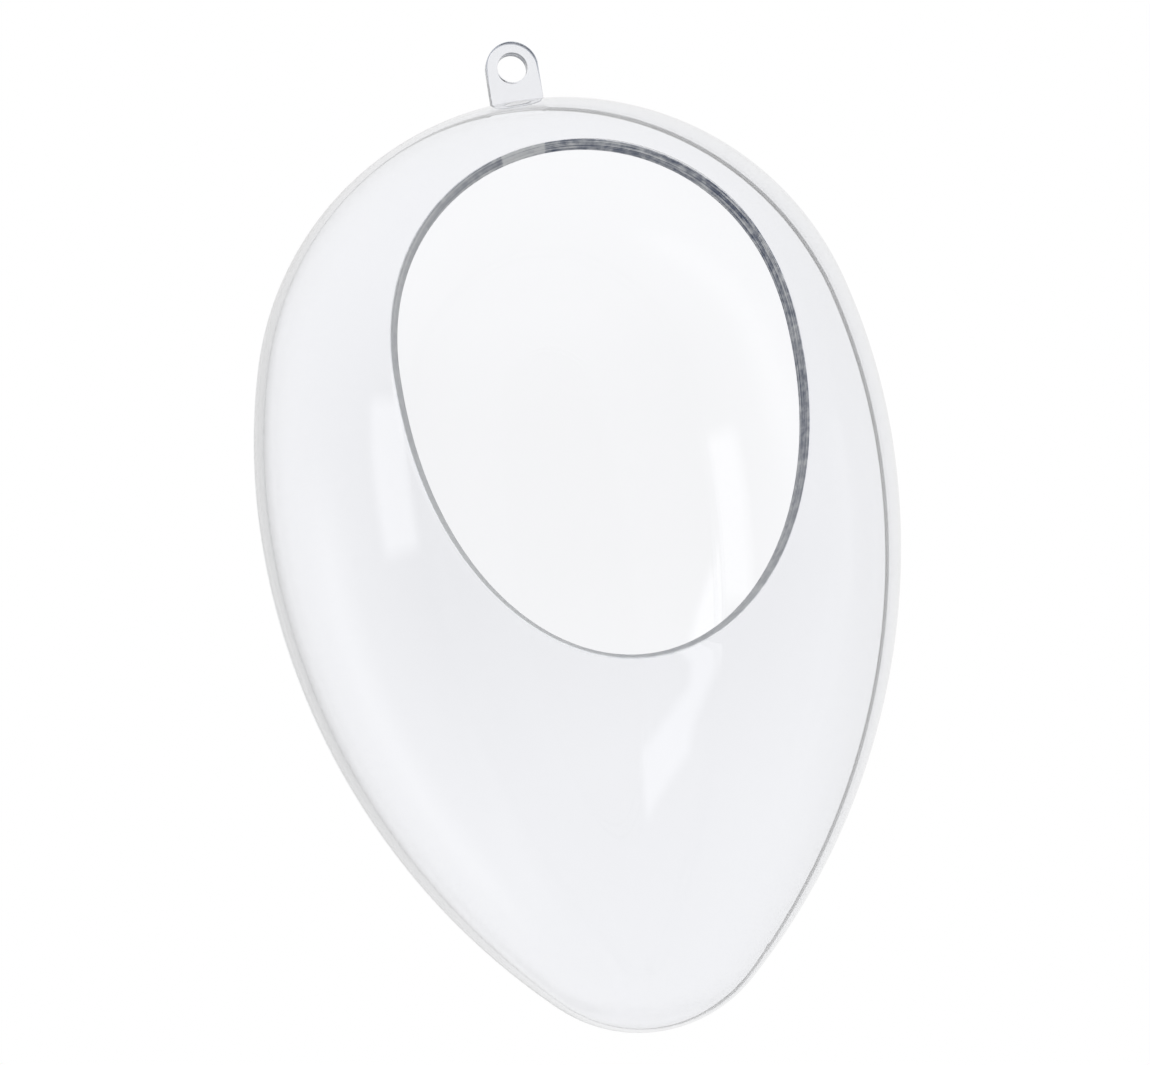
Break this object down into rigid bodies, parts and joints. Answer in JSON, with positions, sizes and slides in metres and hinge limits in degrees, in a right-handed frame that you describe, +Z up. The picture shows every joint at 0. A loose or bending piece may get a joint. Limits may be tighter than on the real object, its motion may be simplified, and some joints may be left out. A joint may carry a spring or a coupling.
{
  "type": "hanging egg",
  "caption": "Clear hollow two-part hanging egg that opens along its length, with a large oval window in the front half and a hanging ear.",
  "frame": {"origin": "centre of the hanging hole, on the plane where the halves meet", "axes": "+Z up along the egg's long axis, towards the ear and the blunt end; -Y out through the window; +X to the right when facing the window"},
  "size_m": [0.109, 0.1053, 0.1721],
  "materials": {
    "clear_plastic": "polished, clear"
  },
  "bodies": {
    "back": {"back_half": "clear_plastic"},
    "front": {"front_half": "clear_plastic"}
  },
  "joints": [
    {"name": "front_pull_off", "type": "slide", "parent": "back", "child": "front", "axis": [0, -1, 0], "range_m": [0, 0.08]}
  ]
}
